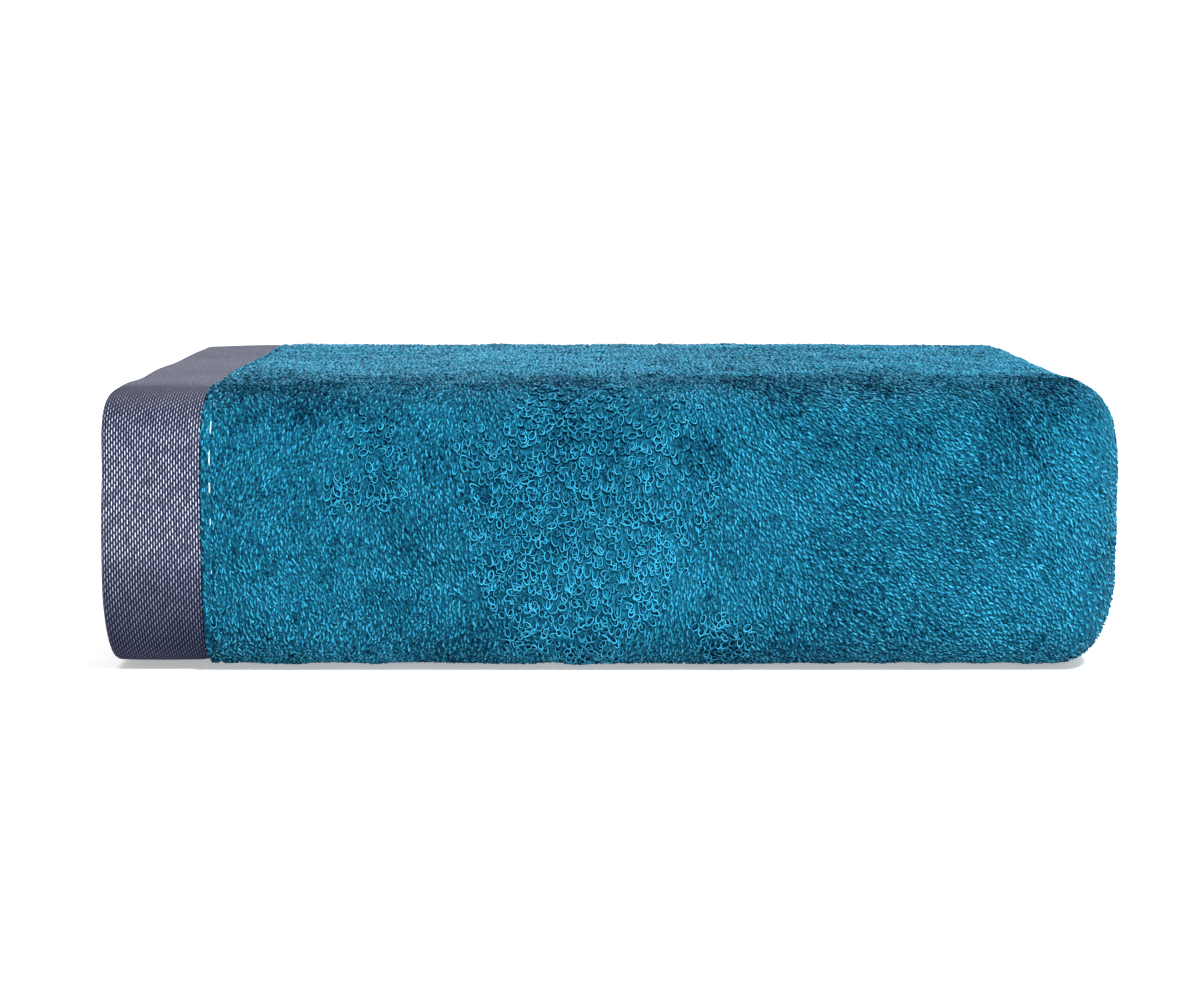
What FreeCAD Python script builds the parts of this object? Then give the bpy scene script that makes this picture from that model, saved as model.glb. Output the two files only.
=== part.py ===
import FreeCAD, Part
import math
import os

# A bath towel, folded in four along its length and then rolled over in thirds across its width.
# Millimetres. The front of the pack faces -Y, the open ends of the layers are at -X, and the pack
# stands on z = 0. Every piece is a section in x and m swept along the way the stack is rolled,
# where m is the height inside the stack of four layers: 0 on its inner face.

# The towel laid flat
towel_length = 1400.0
towel_width = 700.0
cloth_thickness = 7.9    # both piles and the ground cloth, pressed by the layers above
tape_width = 35.0        # woven band that binds each short end
tape_thickness = 0.8
hem_width = 8.0          # side hem, from the edge to its row of stitches
stitch_offset = 3.5      # from the band's inner edge to the row that holds it

# How it is folded
layer_gap = 0.3          # between neighbouring layers of one stack
turn_gap = 0.5           # between the middle third and the top third
edge_gap = 2.5           # between the middle third's edge and the front wall
flap_inset = 2.0         # how far the top third's edge stops short of the back
inner_end_inset = 4.0    # the second short end lies this much inside the first
left_fold_inset = 2.0    # the fold of the two inner layers lies this much inside the first end
front_bend_radius = 3.0  # inner face of the stack at the two front corners
back_bend_radius = 1.0   # inner face of the stack at the back bend
split_gap = 0.3          # between the parts of the cloth that turn against each other

# Sewing
thread_width = 0.6
thread_height = 0.4
sewn_gap = 0.1           # between pieces that are sewn together
label_width = 32.0
label_drop = 22.0        # how far the label hangs below its tab
label_thickness = 0.4
label_tab = 6.0          # tucked into the hem
label_to_end = 60.0      # from the right end of the pack to the label's nearer side

# The stack of four layers
layer_pitch = cloth_thickness + layer_gap
stack = 4 * cloth_thickness + 3 * layer_gap
half = cloth_thickness / 2
level = [half + n * layer_pitch for n in range(4)]   # middle of each layer, innermost first
outer_bend = (level[3] - level[0]) / 2               # right end, outermost to innermost layer
small_bend = layer_pitch / 2                         # right end, second to third; and left end
groove_width = thread_width + 2 * sewn_gap
groove_depth = thread_height + 2 * sewn_gap

# Length of the pack: four layers and their three bends use up the towel's length
bend_reach = outer_bend + half
left_fold_reach = left_fold_inset + small_bend + half
bent_length = math.pi * (outer_bend + 2 * small_bend)
pack_length = (towel_length - bent_length + 4 * bend_reach + 2 * left_fold_reach + inner_end_inset) / 4
x_end = -pack_length / 2
x_inner_end = x_end + inner_end_inset
x_left_fold = x_end + left_fold_reach
x_bend = pack_length / 2 - bend_reach

# Depth and height of the pack: three thirds, two corners and a back bend use up the towel's width
front_outer = front_bend_radius + stack
back_outer = back_bend_radius + stack
flap_base = 2 * stack + 2 * back_bend_radius + turn_gap
wall_run = flap_base - front_bend_radius - front_outer
turned_width = math.pi * (front_bend_radius + back_bend_radius + stack)
depth_times_three = (towel_width - turned_width - wall_run + flap_inset
                     + 2 * front_outer + 2 * back_outer + stack + edge_gap)
pack_depth = depth_times_three / 3
pack_height = flap_base + stack
flap_run = pack_depth - flap_inset - front_outer
bottom_run = pack_depth - back_outer - front_outer
middle_run = pack_depth - back_outer - stack - edge_gap
y_flap_edge = pack_depth / 2 - flap_inset

# The two hinge lines: where the diagonal of each front corner meets the outer face
corner_y = -pack_depth / 2 + front_outer
diagonal = front_outer / math.sqrt(2)
low_hinge = (corner_y - diagonal, front_outer - diagonal)
high_hinge = (corner_y - diagonal, flap_base - front_bend_radius + diagonal)


def vector(x, y, z):
    return FreeCAD.Vector(x, y, z)


def line(a, b):
    return Part.LineSegment(vector(a[0], 0, a[1]), vector(b[0], 0, b[1])).toShape()


def half_circle(x, low, high, side):
    """From the low end to the high one, bulging to the right (side 1) or to the left (side -1)."""
    radius = (high - low) / 2
    middle = vector(x + side * radius, 0, (low + high) / 2)
    return Part.Arc(vector(x, 0, low), middle, vector(x, 0, high)).toShape()


def chain(points):
    return [line(a, b) for a, b in zip(points, points[1:]) if a != b]


def along_the_cloth(offset, outer_start, inner_start):
    """Edges that follow the folded cloth at a height over its middle, from the outer layer's end
    round the right, left and inner bends to the second layer's end. Positive is the face side."""
    first = level[0] - offset
    second = level[1] + offset
    third = level[2] - offset
    fourth = level[3] + offset
    return [
        line((outer_start, fourth), (x_bend, fourth)),
        half_circle(x_bend, first, fourth, 1),
        line((x_bend, first), (x_left_fold, first)),
        half_circle(x_left_fold, first, second, -1),
        line((x_left_fold, second), (x_bend, second)),
        half_circle(x_bend, second, third, 1),
        line((x_bend, third), (inner_start, third)),
    ]


def section(edges):
    return Part.Face(Part.Wire(Part.sortEdges(edges)[0]))


def strip(low, high, outer_start, inner_start):
    """A ribbon between two heights over the cloth's middle, along the whole folded cloth."""
    edges = along_the_cloth(high, outer_start, inner_start)
    edges += along_the_cloth(low, outer_start, inner_start)
    edges.append(line((outer_start, level[3] + low), (outer_start, level[3] + high)))
    edges.append(line((inner_start, level[2] - low), (inner_start, level[2] - high)))
    return section(edges)


def cloth_section(face_height):
    """The cloth, thin inside its two end bands and with a groove for each band's stitches.
    face_height is how far its face side lies over its middle, beyond those grooves."""
    core = half - tape_thickness - sewn_gap
    groove = half - groove_depth
    edges = []
    starts = []
    for end, middle, side in ((x_end, level[3], 1), (x_inner_end, level[2], -1)):
        band_edge = end + tape_width
        row = band_edge + stitch_offset
        start = row + groove_width
        starts.append(start)
        edges += chain([
            (start, middle - side * half),
            (band_edge + sewn_gap, middle - side * half),
            (band_edge + sewn_gap, middle - side * core),
            (end + tape_thickness + sewn_gap, middle - side * core),
            (end + tape_thickness + sewn_gap, middle + side * core),
            (band_edge + sewn_gap, middle + side * core),
            (band_edge + sewn_gap, middle + side * half),
            (row - groove_width / 2, middle + side * half),
            (row - groove_width / 2, middle + side * groove),
            (row + groove_width / 2, middle + side * groove),
            (row + groove_width / 2, middle + side * half),
            (start, middle + side * half),
            (start, middle + side * face_height),
        ])
    edges += along_the_cloth(face_height, *starts)
    edges += along_the_cloth(-half, *starts)
    return section(edges)


def band_section(end, middle):
    """The woven tape, folded round a short end of the towel."""
    inside = half - tape_thickness
    return section(chain([
        (end + tape_width, middle + inside),
        (end + tape_thickness, middle + inside),
        (end + tape_thickness, middle - inside),
        (end + tape_width, middle - inside),
        (end + tape_width, middle - half),
        (end, middle - half),
        (end, middle + half),
        (end + tape_width, middle + half),
        (end + tape_width, middle + inside),
    ]))


def band_thread_section(end, middle, side):
    row = end + tape_width + stitch_offset
    left = row - thread_width / 2
    right = row + thread_width / 2
    low = middle + side * (half - groove_depth + sewn_gap)
    high = low + side * thread_height
    return section(chain([(left, low), (right, low), (right, high), (left, high), (left, low)]))


def rolled(angle):
    """Outward direction and direction of travel, in y and z, after turning from the top by angle."""
    turn = math.radians(angle)
    outward = vector(0, -math.sin(turn), math.cos(turn))
    onward = vector(0, -math.cos(turn), -math.sin(turn))
    return outward, onward


def sweep(flat, place, angle, radius, amount):
    """One straight run (radius None) or one bend of the stack, with its section set at place."""
    outward, onward = rolled(angle)
    face = flat.copy()
    face.rotate(vector(0, 0, 0), vector(1, 0, 0), angle)
    face.translate(place)
    if radius is None:
        return face.extrude(onward * amount)
    return face.revolve(place - outward * radius, vector(1, 0, 0), amount)


# The stack's way, from the top third's free edge to the middle third's: name, radius of its inner
# face or None for a straight run, then its length or turn. "hem" runs carry the side hem's groove.
hem_start = hem_width - groove_width / 2
way = [
    ("flap", "edge", None, hem_start),
    ("flap", "hem", None, groove_width),
    ("flap", "run", None, flap_run - hem_width - groove_width / 2),
    ("flap", "corner", front_bend_radius, 45),
    ("front", "corner", front_bend_radius, 45),
    ("front", "run", None, wall_run),
    ("front", "corner", front_bend_radius, 45),
    ("base", "corner", front_bend_radius, 45),
    ("base", "run", None, bottom_run),
    ("base", "bend", back_bend_radius, 180),
    ("base", "run", None, middle_run - hem_width - groove_width / 2),
    ("base", "hem", None, groove_width),
    ("base", "edge", None, hem_start),
]


def split_slab(hinge, tilt):
    """The gap between two parts of the cloth, a thin slab along the diagonal of a front corner,
    from outside the hinge line to the corner's own axis."""
    reach = 2 * front_outer
    slab = Part.makeBox(2 * pack_length, reach, split_gap,
                        vector(-pack_length, front_outer - reach, -split_gap / 2))
    slab.rotate(vector(0, 0, 0), vector(1, 0, 0), tilt)
    slab.translate(vector(0, hinge[0], hinge[1]))
    return slab


slabs = [split_slab(high_hinge, -45), split_slab(low_hinge, 45)]


def roll_up(part, flat, hem_flat=None, kinds=("edge", "hem", "run", "corner", "bend")):
    """Sweeps a section along one part of the way. hem_flat takes its place in the hem's groove."""
    place = vector(0, y_flap_edge, flap_base)
    angle = 0
    pieces = []
    for name, kind, radius, amount in way:
        shown = hem_flat if kind == "hem" and hem_flat else flat
        if name == part and kind in kinds:
            pieces.append(sweep(shown, place, angle, radius, amount))
        if radius is None:
            place = place + rolled(angle)[1] * amount
        else:
            centre = place - rolled(angle)[0] * radius
            angle += amount
            place = centre + rolled(angle)[0] * radius
    whole = pieces[0]
    if len(pieces) > 1:
        whole = whole.fuse(pieces[1:]).removeSplitter()
    if "corner" in kinds:
        for slab in slabs:
            whole = whole.cut(slab)
    return whole


def hem_thread(part):
    """The side hem's row of stitches, in its groove along the face side of every layer."""
    low = half - groove_depth + sewn_gap
    clear = tape_width + stitch_offset + groove_width + sewn_gap
    ribbon = strip(low, low + thread_height, x_end + clear, x_inner_end + clear)
    thread = roll_up(part, ribbon, kinds=("hem",))
    box = thread.BoundBox
    trims = [Part.makeBox(2 * pack_length, sewn_gap, 2 * pack_height, vector(-pack_length, y, 0))
             for y in (box.YMin, box.YMax - sewn_gap)]
    return thread.cut(trims)


def hem_edge_point():
    """The label's place: the middle of the outermost layer on the top third's free edge."""
    x = pack_length / 2 - label_to_end - label_width
    return x, y_flap_edge, flap_base + level[3]


def label_shape():
    """A blank ribbon label: a tab inside the hem and a leaf that hangs down behind the edge."""
    x, y, z = hem_edge_point()
    low = z - label_thickness / 2
    tab = Part.makeBox(label_width, label_tab + sewn_gap + label_thickness, label_thickness,
                       vector(x, y - label_tab, low))
    leaf = Part.makeBox(label_width, label_thickness, label_drop + label_thickness,
                        vector(x, y + sewn_gap, low - label_drop))
    return tab.fuse(leaf).removeSplitter()


def label_slot():
    x, y, z = hem_edge_point()
    return Part.makeBox(label_width + 2 * sewn_gap, label_tab + 2 * sewn_gap, label_thickness + 2 * sewn_gap,
                        vector(x - sewn_gap, y - label_tab - sewn_gap, z - label_thickness / 2 - sewn_gap))


def label_row(clear):
    """The short row of stitches over the label's tab, or with clear the groove it lies in."""
    x, y, z = hem_edge_point()
    top = z + half + (sewn_gap if clear else -sewn_gap)
    low = z + half - groove_depth + (0 if clear else sewn_gap)
    grow = sewn_gap if clear else 0
    middle = y - label_tab / 2
    return Part.makeBox(label_width + 2 * grow, thread_width + 2 * grow, top - low,
                        vector(x - grow, middle - thread_width / 2 - grow, low))


def export(name, shape):
    os.makedirs("parts", exist_ok=True)
    shape.exportStep(os.path.join("parts", name + ".step"))
    box = shape.BoundBox
    print(name, "solids", len(shape.Solids), "valid", shape.isValid(), "volume", round(shape.Volume),
          "box", [round(v, 2) for v in (box.XMin, box.YMin, box.ZMin, box.XMax, box.YMax, box.ZMax)])


cloth = cloth_section(half)
grooved_cloth = cloth_section(half - groove_depth)
print("pack", round(pack_length, 2), round(pack_depth, 2), round(pack_height, 2))
print("hinges", low_hinge, high_hinge)
for part in ("base", "front", "flap"):
    towel = roll_up(part, cloth, grooved_cloth)
    if part == "flap":
        towel = towel.cut([label_slot(), label_row(True)])
    export("towel_cloth_" + part, towel)
    export("end_band_" + part, roll_up(part, band_section(x_end, level[3])))
    export("inner_band_" + part, roll_up(part, band_section(x_inner_end, level[2])))
    export("end_band_stitching_" + part, roll_up(part, band_thread_section(x_end, level[3], 1)))
    export("inner_band_stitching_" + part, roll_up(part, band_thread_section(x_inner_end, level[2], -1)))
export("flap_hem_stitching", hem_thread("flap"))
export("middle_hem_stitching", hem_thread("base"))
export("care_label", label_shape())
export("care_label_stitching", label_row(False))
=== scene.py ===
import math
import bpy
import numpy as np
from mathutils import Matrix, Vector


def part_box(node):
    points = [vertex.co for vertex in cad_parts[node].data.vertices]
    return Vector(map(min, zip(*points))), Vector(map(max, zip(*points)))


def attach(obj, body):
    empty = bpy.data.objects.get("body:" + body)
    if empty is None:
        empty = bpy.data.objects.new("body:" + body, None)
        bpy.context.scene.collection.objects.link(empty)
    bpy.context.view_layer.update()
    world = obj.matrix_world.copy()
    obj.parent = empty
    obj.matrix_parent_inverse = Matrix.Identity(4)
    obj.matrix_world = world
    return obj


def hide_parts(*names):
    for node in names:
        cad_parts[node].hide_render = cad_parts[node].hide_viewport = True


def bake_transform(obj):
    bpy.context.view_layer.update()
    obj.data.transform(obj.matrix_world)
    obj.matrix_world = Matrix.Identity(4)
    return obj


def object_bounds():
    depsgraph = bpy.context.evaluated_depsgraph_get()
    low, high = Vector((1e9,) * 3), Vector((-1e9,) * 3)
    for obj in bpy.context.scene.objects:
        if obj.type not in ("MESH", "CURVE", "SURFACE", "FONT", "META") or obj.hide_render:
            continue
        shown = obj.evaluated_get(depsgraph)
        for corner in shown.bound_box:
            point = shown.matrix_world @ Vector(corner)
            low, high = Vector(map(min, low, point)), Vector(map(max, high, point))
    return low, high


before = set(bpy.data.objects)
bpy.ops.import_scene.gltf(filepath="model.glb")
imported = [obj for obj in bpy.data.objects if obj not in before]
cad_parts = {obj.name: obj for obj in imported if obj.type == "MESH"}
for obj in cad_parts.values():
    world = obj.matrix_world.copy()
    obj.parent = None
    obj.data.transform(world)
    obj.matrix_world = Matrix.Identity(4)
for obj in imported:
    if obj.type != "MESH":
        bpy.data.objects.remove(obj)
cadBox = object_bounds()

mm = 0.001
pi = math.pi

# how the towel is folded: sizes come from the frame, the rest is set here
towelFold = {
    "clothThickness": 7.9 * mm,
    "layerGap": 0.3 * mm,
    "frontBendRadius": 3.0 * mm,
    "backBendRadius": 1.0 * mm,
    "middleEdgeGap": 2.5 * mm,    # middle third's edge, behind the front wall
    "leftFoldInset": 2.0 * mm,
    "topSquareness": 2.7,         # 2 is a round corner, more is squarer
    "bottomSquareness": 3.5,      # the weight of the stack presses the bottom edge square
    "backSquareness": 2.15,
    "seamPastCorner": 6.0 * mm,   # where the bottom piece of cloth meets the front one
}

packLow, packHigh = cadBox
clothThickness = towelFold["clothThickness"]
half = clothThickness / 2
pitch = clothThickness + towelFold["layerGap"]
stack = 4 * clothThickness + 3 * towelFold["layerGap"]
levels = [half + n * pitch for n in range(4)]    # middle of each layer, innermost first
outerBend = (levels[3] - levels[0]) / 2
smallBend = pitch / 2
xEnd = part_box("end_band_base")[0][0]
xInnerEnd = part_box("inner_band_base")[0][0]
xBend = packHigh.x - outerBend - half
xLeftFold = xEnd + towelFold["leftFoldInset"] + smallBend + half
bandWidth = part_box("end_band_base")[1][0] - xEnd

# the towel's length: straight runs and bends, from the first short end to the second
longRun = xBend - xLeftFold
lengthRuns = [xBend - xEnd, pi * outerBend, longRun, pi * smallBend, longRun, pi * smallBend,
              xBend - xInnerEnd]
lengthStarts = np.concatenate([[0], np.cumsum(lengthRuns)])
towelLength = lengthStarts[-1]

# the towel's width: from the top third's free edge, over the front, to the middle third's edge
frontRadius = towelFold["frontBendRadius"]
backRadius = towelFold["backBendRadius"]
frontOuter = frontRadius + stack
backOuter = backRadius + stack
flapBase = packHigh.z - stack
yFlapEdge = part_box("towel_cloth_flap")[1][1]
wallRun = flapBase - frontRadius - frontOuter
flapRun = yFlapEdge - packLow.y - frontOuter
bottomRun = packHigh.y - backOuter - packLow.y - frontOuter
middleRun = packHigh.y - backOuter - packLow.y - stack - towelFold["middleEdgeGap"]
seam = towelFold["seamPastCorner"]
widthRuns = [
    ("top", None, flapRun, 0),
    ("top", frontRadius, 90, towelFold["topSquareness"]),
    ("top", None, wallRun / 2, 0),
    ("front", None, wallRun / 2, 0),
    ("front", frontRadius, 90, towelFold["bottomSquareness"]),
    ("front", None, seam, 0),
    ("bottom", None, bottomRun - seam, 0),
    ("bottom", backRadius, 180, towelFold["backSquareness"]),
    ("bottom", None, middleRun, 0),
]


# outward is away from the stack's inner face, onward is along the towel's width
def directions(angle):
    return np.array([-np.sin(angle), np.cos(angle)]), np.array([-np.cos(angle), -np.sin(angle)])


def walkTheWidth():
    place, angle, u = np.array([yFlapEdge, flapBase]), 0.0, 0.0
    found = []
    for piece, radius, amount, squareness in widthRuns:
        outward, onward = directions(angle)
        part = dict(piece=piece, start=u, radius=radius, angle=angle)
        if radius is None:
            part.update(length=amount, place=place)
            place = place + onward * amount
        else:
            turn = math.radians(amount)
            centre = place - outward * radius
            part.update(length=(radius + stack / 2) * turn, centre=centre, turn=turn, squareness=squareness)
            angle += turn
            place = centre + directions(angle)[0] * radius
        found.append(part)
        u += part["length"]
    return found, u


widthParts, towelWidth = walkTheWidth()


# each part of the length: where it starts or turns, in x and in height m, its bend's radius if it has one,
# which way it goes in x and in m, and which way the cloth's face points
lengthParts = [
    (xEnd, levels[3], None, 1, 1, 1),
    (xBend, (levels[0] + levels[3]) / 2, outerBend, 1, 1, 1),
    (xBend, levels[0], None, -1, -1, 1),
    (xLeftFold, (levels[0] + levels[1]) / 2, smallBend, -1, -1, 1),
    (xLeftFold, levels[1], None, 1, 1, 1),
    (xBend, (levels[1] + levels[2]) / 2, smallBend, 1, -1, -1),
    (xBend, levels[2], None, -1, -1, 1),
]


# x and m for a point s along the towel and d over the cloth's middle
def foldInFour(s, d):
    x, m = np.empty_like(s), np.empty_like(s)
    which = np.clip(np.searchsorted(lengthStarts, s, side="right") - 1, 0, 6)
    for part, (xStart, mStart, radius, xWay, mWay, side) in enumerate(lengthParts):
        here = which == part
        t, e = s[here] - lengthStarts[part], d[here]
        if radius is None:
            x[here], m[here] = xStart + xWay * t, mStart + mWay * e
        else:
            a, r = t / radius, radius + side * e
            x[here], m[here] = xStart + xWay * r * np.sin(a), mStart + mWay * r * np.cos(a)
    return x, m


# y and z for a point u along the towel's width at height m inside the stack
def rollInThirds(u, m):
    y, z = np.empty_like(u), np.empty_like(u)
    starts = [part["start"] for part in widthParts]
    which = np.clip(np.searchsorted(starts, u, side="right") - 1, 0, len(widthParts) - 1)
    for index, part in enumerate(widthParts):
        here = which == index
        if not here.any():
            continue
        t, h = u[here] - part["start"], m[here]
        if part["radius"] is None:
            outward, onward = directions(part["angle"])
            y[here] = part["place"][0] + onward[0] * t + outward[0] * h
            z[here] = part["place"][1] + onward[1] * t + outward[1] * h
        else:
            turned = t / part["length"] * part["turn"]
            n = part["squareness"]
            quarter = np.mod(turned, pi / 2)
            swell = (np.cos(quarter) ** n + np.sin(quarter) ** n) ** (-1 / n)
            reach = (part["radius"] + h) * swell
            outward, _ = directions(part["angle"] + turned)
            y[here] = part["centre"][0] + reach * outward[0]
            z[here] = part["centre"][1] + reach * outward[1]
    return y, z


# smooth noise between -1 and 1 with features about one cell wide, the same each run
def smoothNoise(a, b, seed):
    size = 256
    lattice = np.random.default_rng(seed).uniform(-1, 1, (size, size))
    ia, ib = np.floor(a).astype(int), np.floor(b).astype(int)
    fa, fb = a - ia, b - ib
    fa, fb = fa * fa * (3 - 2 * fa), fb * fb * (3 - 2 * fb)
    def at(p, q):
        return lattice[p % size, q % size]
    low = at(ia, ib) * (1 - fa) + at(ia + 1, ib) * fa
    top = at(ia, ib + 1) * (1 - fa) + at(ia + 1, ib + 1) * fa
    return low * (1 - fb) + top * fb


# each noise: the size of its cells both ways, where it starts in the lattice both ways, and its seed
noises = {
    "frontRipple": (45 * mm, 30 * mm, 3.3, 7.7, 5),
    "topRoll": (60 * mm, 55 * mm, 11.5, 2.5, 9),
    "raggedEnd": (50 * mm, 22 * mm, 5.1, 1.7, 21),
    "lumps": (9 * mm, 8 * mm, 0.7, 0.3, 31),
    "wideTone": (34 * mm, 22 * mm, 4.2, 8.1, 41),
    "closeTone": (10 * mm, 8 * mm, 1.2, 3.1, 43),
    "blotches": (15 * mm, 9 * mm, 9.2, 5.5, 47),
    "pileSway": (19 * mm, 15 * mm, 2.2, 6.4, 53),
    "loopEdge": (9 * mm, 9 * mm, 1.1, 4.7, 61),
    "tapeToneAndShade": (18 * mm, 14 * mm, 3.3, 9.1, 71),
}


def noise(name, a, b):
    cellA, cellB, startA, startB, seed = noises[name]
    return smoothNoise(a / cellA + startA, b / cellB + startB, seed)


def ease(value, low, high):
    t = np.clip((value - low) / (high - low), 0, 1)
    return t * t * (3 - 2 * t)


def bell(value, middle, width):
    return np.exp(-((value - middle) / width) ** 2)


# the small unevenness of a real folded towel
unevenness = {
    "frontBulge": 1.1 * mm,
    "topSwell": 0.7 * mm,
    "bandSag": 0.6 * mm,          # the band's end of the top lies a little lower
    "rightPress": 2.0 * mm,       # the fold end is pressed flatter
    "rightTuck": 4.0 * mm,        # the bottom corners pull in
    "leftTuck": 1.2 * mm,
    "tuckHeight": 34 * mm,
    "frontRipple": 0.5 * mm,
    "bandBuckle": 0.7 * mm,       # soft waves in the band on the top: where in the depth, how wide, how high
    "buckles": [(0.20, 0.055, 1), (0.34, 0.06, -0.8), (0.52, 0.09, 0.5)],
    "raggedEnd": 0.9 * mm,
}


def settle(x, y, z):
    u = unevenness
    depth, height, halfLength = packHigh.y - packLow.y, packHigh.z, packHigh.x
    def nearRight(reach):
        return ease(x, halfLength - reach, halfLength)
    def nearLeft(reach, end=0):
        return ease(-x, halfLength - reach, halfLength - end)
    high = np.clip(z / height, 0, 1)
    front = ease(packLow.y + 60 * mm - y, 0, 60 * mm)
    across = np.clip(1 - (2 * high - 1) ** 2, 0, 1)
    along = np.clip(1 - (x / halfLength) ** 4, 0, 1)
    y = y - front * across * along * (u["frontBulge"] + u["frontRipple"] * noise("frontRipple", x, z))
    upper = ease(high, 0.25, 1)
    z = z + upper * u["topSwell"] * (noise("topRoll", x, y) + 0.6 * along)
    z = z - upper * u["bandSag"] * nearLeft(45 * mm)
    back = (y - packLow.y) / depth
    buckle = sum(tall * bell(back, middle, width) for middle, width, tall in u["buckles"])
    onTop = ease(z, height - 12 * mm, height - 2 * mm) * nearLeft(38 * mm, 14 * mm)
    z = z + u["bandBuckle"] * buckle * onTop
    tuck = ease(u["tuckHeight"] - z, 0, u["tuckHeight"])
    x = x - tuck * (u["rightTuck"] * nearRight(70 * mm) - u["leftTuck"] * nearLeft(45 * mm))
    x = x - u["rightPress"] * nearRight(30 * mm)
    x = x + u["raggedEnd"] * noise("raggedEnd", y, z) * nearLeft(25 * mm)
    return x, y, z


# a point of the flat towel, s along, u across, d over its middle, where the fold takes it
def folded(s, u, d):
    s, u, d = (np.asarray(v, float) for v in (s, u, d))
    s, u, d = (v.ravel() for v in np.broadcast_arrays(s, u, d))
    x, m = foldInFour(s, d)
    y, z = rollInThirds(u, m)
    return np.column_stack(settle(x, y, z))


def putObject(name, data, place=(0, 0, 0)):
    made = bpy.data.objects.new(name, data)
    bpy.context.scene.collection.objects.link(made)
    made.location = place
    return made


# a mesh object from points and one or more arrays of faces
def newPiece(name, points, faces, material):
    groups = [np.asarray(group) for group in (faces if isinstance(faces, list) else [faces])]
    sizes = np.concatenate([np.full(len(group), group.shape[1]) for group in groups])
    mesh = bpy.data.meshes.new(name)
    mesh.vertices.add(len(points))
    mesh.vertices.foreach_set("co", np.asarray(points, np.float32).ravel())
    mesh.loops.add(int(sizes.sum()))
    mesh.loops.foreach_set("vertex_index", np.concatenate([group.ravel() for group in groups]))
    mesh.polygons.add(len(sizes))
    mesh.polygons.foreach_set("loop_start", np.cumsum(sizes) - sizes)
    mesh.update(calc_edges=True)
    mesh.polygons.foreach_set("use_smooth", np.full(len(sizes), True))
    mesh.materials.append(material)
    return putObject(name, mesh)


# faces of a grid of rows by columns whose points start at first
def gridFaces(rows, columns, first=0, around=False):
    r = np.arange(rows - 1)[:, None]
    c = np.arange(columns if around else columns - 1)[None, :]
    d = (c + 1) % columns
    faces = np.stack([r * columns + c, r * columns + d, (r + 1) * columns + d, (r + 1) * columns + c], -1)
    return faces.reshape(-1, 4) + first


# small helpers for the materials' nodes: a socket takes a value or another node's output
def feed(tree, socket, value):
    if isinstance(value, bpy.types.NodeSocket):
        tree.links.new(value, socket)
    else:
        socket.default_value = value


def addNode(tree, kind, **values):
    node = tree.nodes.new(kind)
    for name, value in values.items():
        if name in node.inputs:
            feed(tree, node.inputs[name], value)
        else:
            setattr(node, name, value)
    return node


def mathNode(tree, operation, first, second=None, clamp=False):
    node = addNode(tree, "ShaderNodeMath", operation=operation, use_clamp=clamp)
    for socket, value in zip(node.inputs, (first, second)):
        if value is not None:
            feed(tree, socket, value)
    return node.outputs[0]


def mixColours(tree, share, first, second):
    node = addNode(tree, "ShaderNodeMix", data_type="RGBA")
    for index, value in ((0, share), (6, first), (7, second)):
        feed(tree, node.inputs[index], value)
    return node.outputs[2]


# a node group with inputs given as names and values; a colour is four numbers, a place three, a value one
def newGroup(name, inputs, outputs):
    group = bpy.data.node_groups.new(name, "ShaderNodeTree")
    kinds = {4: "NodeSocketColor", 3: "NodeSocketVector", 1: "NodeSocketFloat"}
    for way, sockets in (("INPUT", inputs), ("OUTPUT", outputs)):
        for label, value in sockets.items():
            kind = kinds[np.size(value)]
            group.interface.new_socket(name=label, in_out=way, socket_type=kind).default_value = value
    return group, group.nodes.new("NodeGroupInput"), group.nodes.new("NodeGroupOutput")


def newMaterial(label, roughness, sheen=None, specular=0.3):
    material = bpy.data.materials.new(label)
    material.use_nodes = True
    shader = material.node_tree.nodes["Principled BSDF"]
    values = {"Roughness": roughness, "Specular IOR Level": specular}
    if sheen:
        values.update(zip(("Sheen Weight", "Sheen Roughness", "Sheen Tint"), sheen))
    for name, value in values.items():
        shader.inputs[name].default_value = value
    return material, material.node_tree, shader


def addBump(tree, shader, height, strength, distance):
    bump = addNode(tree, "ShaderNodeBump", Height=height, Strength=strength, Distance=distance)
    feed(tree, shader.inputs["Normal"], bump.outputs[0])


def readAttribute(tree, name, output="Fac"):
    return addNode(tree, "ShaderNodeAttribute", attribute_name=name).outputs[output]


# yarn colour that varies from place to place, with flattened darker patches
def yarnColourGroup():
    inputs = {"Place": (0, 0, 0), "Patch Size": 26.0, "Fleck Size": 900.0, "Tone": 0.5,
              "Patch Strength": 0.35, "Fleck Strength": 0.3, "Deep": (0, 0, 0, 1), "Light": (1, 1, 1, 1)}
    group, given, out = newGroup("yarnColour", inputs, {"Colour": (0, 0, 0, 1)})
    found = []
    for size, strength, detail, roughness, amount in (("Patch Size", "Patch Strength", 3.0, 0.55, 4.0),
                                                      ("Fleck Size", "Fleck Strength", 2.0, 0.6, 3.0)):
        cloud = addNode(group, "ShaderNodeTexNoise", Vector=given.outputs["Place"],
                        Scale=given.outputs[size], Detail=detail, Roughness=roughness)
        change = mathNode(group, "SUBTRACT", cloud.outputs[0], 0.5)
        change = mathNode(group, "MULTIPLY", change, given.outputs[strength])
        found.append(mathNode(group, "MULTIPLY", change, amount))
    wide, fine = found
    share = mathNode(group, "ADD", mathNode(group, "ADD", wide, fine), given.outputs["Tone"], clamp=True)
    colour = mixColours(group, share, given.outputs["Deep"], given.outputs["Light"])
    feed(group, out.inputs["Colour"], colour)
    return group


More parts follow.
